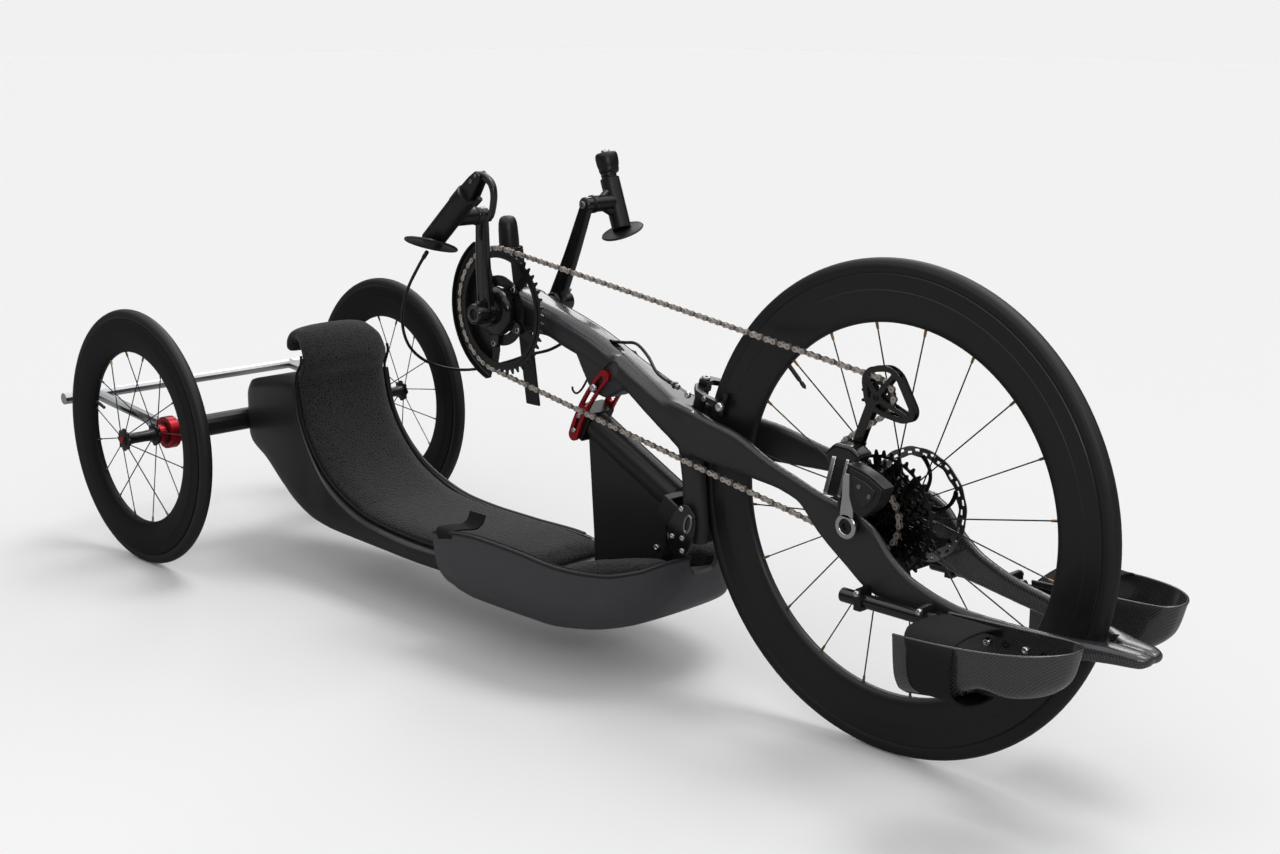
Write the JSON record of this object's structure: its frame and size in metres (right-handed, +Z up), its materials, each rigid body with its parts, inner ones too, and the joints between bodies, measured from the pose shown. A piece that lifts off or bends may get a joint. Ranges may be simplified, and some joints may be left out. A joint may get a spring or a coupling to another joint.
{
  "type": "recumbent handcycle",
  "caption": "Hand-cranked front-drive recumbent three-wheeler with a carbon seat tub, chain drive, rim and disc brakes, foot cups and a tilting, steerable front frame.",
  "frame": {"origin": "on the ground under the middle of the whole machine", "axes": "+X forwards along the machine, +Y to the rider's left, +Z up"},
  "size_m": [2.1044, 0.624, 0.7485],
  "materials": {
    "satin_carbon": "satin clear-coated carbon laminate",
    "gloss_carbon": "glossy carbon laminate, open weave",
    "rubber_tyre": "smooth black road tyre",
    "steel": "dark machined steel",
    "chain_steel": "warm nickel-plated steel",
    "polished_alloy": "polished alloy",
    "red_alloy": "red anodised alloy",
    "black_alloy": "black anodised alloy",
    "black_fabric": "black mesh and webbing",
    "black_plastic": "moulded black plastic",
    "cable_rubber": "black cable housing",
    "elastomer": "tan elastomer"
  },
  "bodies": {
    "rear_frame": {"seat_tub": "satin_carbon", "nose_pod": "satin_carbon", "steering_tower": "satin_carbon", "axle_beam": "satin_carbon", "axle_receiver_right": "red_alloy", "axle_receiver_left": "red_alloy", "bumper_frame": "polished_alloy", "bumper_clamp_right": "red_alloy", "bumper_clamp_left": "red_alloy", "seat_cushion": "black_fabric", "leg_pad_right": "black_fabric", "leg_pad_left": "black_fabric", "centering_elastomer": "elastomer", "pod_strap": "black_fabric"},
    "steering_head": {"steering_shaft": "black_alloy", "height_plate_right": "red_alloy", "height_plate_left": "red_alloy"},
    "front_frame": {"front_frame": "satin_carbon", "bottom_bracket": "black_alloy", "chain_guard": "black_plastic", "height_bolt": "black_alloy", "front_axle": "steel", "derailleur_body": "black_alloy", "brake_cable": "cable_rubber", "foot_cup_right": "gloss_carbon", "foot_cup_left": "gloss_carbon", "foot_rail_right": "black_alloy", "foot_rail_left": "black_alloy", "foot_strap_right": "black_fabric", "foot_strap_left": "black_fabric", "hand_post": "black_plastic", "disc_caliper": "black_alloy", "chain": "chain_steel"},
    "front_wheel": {"front_tyre": "rubber_tyre", "front_rim": "satin_carbon", "front_hub": "black_alloy", "brake_rotor": "steel"},
    "cassette": {"cassette": "steel"},
    "crank": {"crank_spindle": "steel", "crank_arm_right": "black_alloy", "crank_arm_left": "black_alloy", "chainring": "black_alloy", "power_spider": "black_alloy"},
    "grip_right": {"grip_right": "black_alloy"},
    "brake_lever": {"brake_lever": "black_alloy"},
    "grip_left": {"grip_left": "black_alloy"},
    "shift_button": {"shift_button": "black_plastic"},
    "caliper_arm_right": {"caliper_arm_right": "black_alloy"},
    "caliper_arm_left": {"caliper_arm_left": "black_alloy"},
    "derailleur_link": {"derailleur_link": "polished_alloy"},
    "derailleur_knuckle": {"derailleur_knuckle": "black_alloy"},
    "derailleur_cage": {"derailleur_cage": "black_alloy"},
    "tension_pulley": {"tension_pulley": "black_plastic"},
    "guide_pulley": {"guide_pulley": "black_plastic"},
    "rear_wheel_right": {"rear_tyre_right": "rubber_tyre", "rear_rim_right": "satin_carbon", "rear_hub_right": "black_alloy"},
    "rear_wheel_left": {"rear_tyre_left": "rubber_tyre", "rear_rim_left": "satin_carbon", "rear_hub_left": "black_alloy"}
  },
  "joints": [
    {"name": "steering", "type": "hinge", "parent": "rear_frame", "child": "steering_head", "pos_m": [0.32223, 0, 0.24944], "axis": [-0.8988, 0, 0.4384], "range_deg": [-18, 18], "stiffness_Nm_per_rad": 12, "deforming": ["centering_elastomer"]},
    {"name": "height_tilt", "type": "hinge", "parent": "steering_head", "child": "front_frame", "pos_m": [0.32223, 0, 0.24944], "axis": [0, 1, 0], "range_deg": [-4, 4]},
    {"name": "front_wheel_spin", "type": "hinge", "parent": "front_frame", "child": "front_wheel", "pos_m": [0.66223, 0, 0.33444], "axis": [0, 1, 0], "continuous": true},
    {"name": "crank_spin", "type": "hinge", "parent": "front_frame", "child": "crank", "pos_m": [-0.07377, 0, 0.51644], "axis": [0, 1, 0], "continuous": true, "deforming": ["chain", "brake_cable"]},
    {"name": "cassette_spin", "type": "hinge", "parent": "front_frame", "child": "cassette", "pos_m": [0.66223, -0.044, 0.33444], "axis": [0, 1, 0], "continuous": true},
    {"name": "grip_right_swivel", "type": "hinge", "parent": "crank", "child": "grip_right", "pos_m": [-0.03887, -0.17, 0.67258], "axis": [0, 1, 0], "range_deg": [-50, 50]},
    {"name": "grip_left_swivel", "type": "hinge", "parent": "crank", "child": "grip_left", "pos_m": [-0.03887, 0.17, 0.67258], "axis": [0, 1, 0], "range_deg": [-50, 50]},
    {"name": "brake_lever_pull", "type": "hinge", "parent": "grip_right", "child": "brake_lever", "pos_m": [0.03113, -0.17, 0.73985], "axis": [0, 1, 0], "range_deg": [0, 22], "stiffness_Nm_per_rad": 0.6, "springref_deg": -17.19},
    {"name": "shift_press", "type": "slide", "parent": "grip_left", "child": "shift_button", "axis": [0.7071, 0, -0.7071], "range_m": [0, 0.0018], "stiffness_N_per_m": 800, "springref_m": -0.001},
    {"name": "caliper_right_swing", "type": "hinge", "parent": "front_frame", "child": "caliper_arm_right", "pos_m": [0.317, 0, 0.43998], "axis": [0.2924, 0, 0.9563], "range_deg": [0, 2.2]},
    {"name": "caliper_left_swing", "type": "hinge", "parent": "front_frame", "child": "caliper_arm_left", "pos_m": [0.317, 0, 0.43998], "axis": [0.2924, 0, 0.9563], "range_deg": [-2.2, 0]},
    {"name": "derailleur_swing", "type": "hinge", "parent": "front_frame", "child": "derailleur_link", "pos_m": [0.65823, -0.092, 0.37244], "axis": [1, 0, 0], "range_deg": [-5, 28]},
    {"name": "derailleur_parallel", "type": "hinge", "parent": "derailleur_link", "child": "derailleur_knuckle", "pos_m": [0.65823, -0.078, 0.41244], "axis": [1, 0, 0], "range_deg": [-28, 5]},
    {"name": "cage_swing", "type": "hinge", "parent": "derailleur_knuckle", "child": "derailleur_cage", "pos_m": [0.62823, -0.044, 0.41144], "axis": [0, 1, 0], "range_deg": [-10, 25], "stiffness_Nm_per_rad": 0.5, "springref_deg": -17.19},
    {"name": "tension_pulley_spin", "type": "hinge", "parent": "derailleur_cage", "child": "tension_pulley", "pos_m": [0.66423, -0.044, 0.49544], "axis": [0, 1, 0], "continuous": true},
    {"name": "guide_pulley_spin", "type": "hinge", "parent": "derailleur_cage", "child": "guide_pulley", "pos_m": [0.62823, -0.044, 0.41144], "axis": [0, 1, 0], "continuous": true},
    {"name": "rear_wheel_right_spin", "type": "hinge", "parent": "rear_frame", "child": "rear_wheel_right", "pos_m": [-0.78777, -0.276, 0.22794], "axis": [0, 1, 0], "continuous": true},
    {"name": "rear_wheel_left_spin", "type": "hinge", "parent": "rear_frame", "child": "rear_wheel_left", "pos_m": [-0.78777, 0.276, 0.22794], "axis": [0, 1, 0], "continuous": true}
  ],
  "couplings": [
    {"joint": "cassette_spin", "follows": "crank_spin", "ratio": 2.2857},
    {"joint": "tension_pulley_spin", "follows": "crank_spin", "ratio": 4},
    {"joint": "guide_pulley_spin", "follows": "crank_spin", "ratio": -4},
    {"joint": "derailleur_parallel", "follows": "derailleur_swing", "ratio": -1},
    {"joint": "caliper_right_swing", "follows": "brake_lever_pull", "ratio": 0.1},
    {"joint": "caliper_left_swing", "follows": "brake_lever_pull", "ratio": -0.1}
  ]
}
